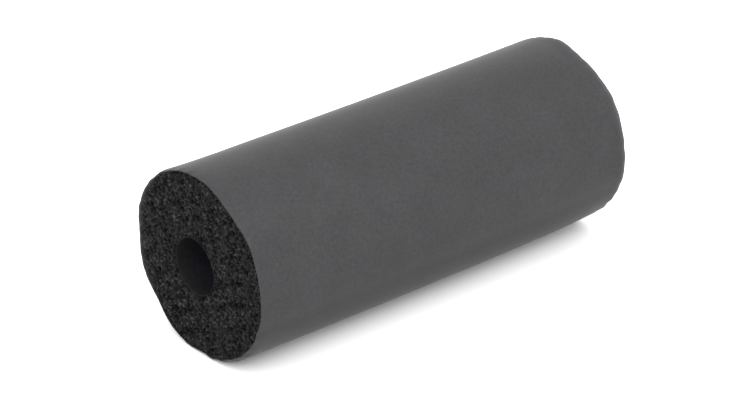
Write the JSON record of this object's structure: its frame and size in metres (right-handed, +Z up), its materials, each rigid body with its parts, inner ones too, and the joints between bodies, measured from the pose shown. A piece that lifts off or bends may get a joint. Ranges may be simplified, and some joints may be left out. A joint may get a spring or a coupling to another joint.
{
  "type": "pipe insulation lagging",
  "caption": "Cut length of thick black closed-cell foam pipe insulation with a smooth skin, square-cut cellular ends and a round pipe bore, lying on its side.",
  "frame": {"origin": "on the floor, under the middle of the tube's bounding box", "axes": "+X along the tube from the cut end that the picture shows to the hidden one, +Z up"},
  "size_m": [0.131, 0.0544, 0.0535],
  "materials": {
    "foam": "matte"
  },
  "bodies": {
    "root": {"foam_tube": "foam"}
  },
  "joints": []
}
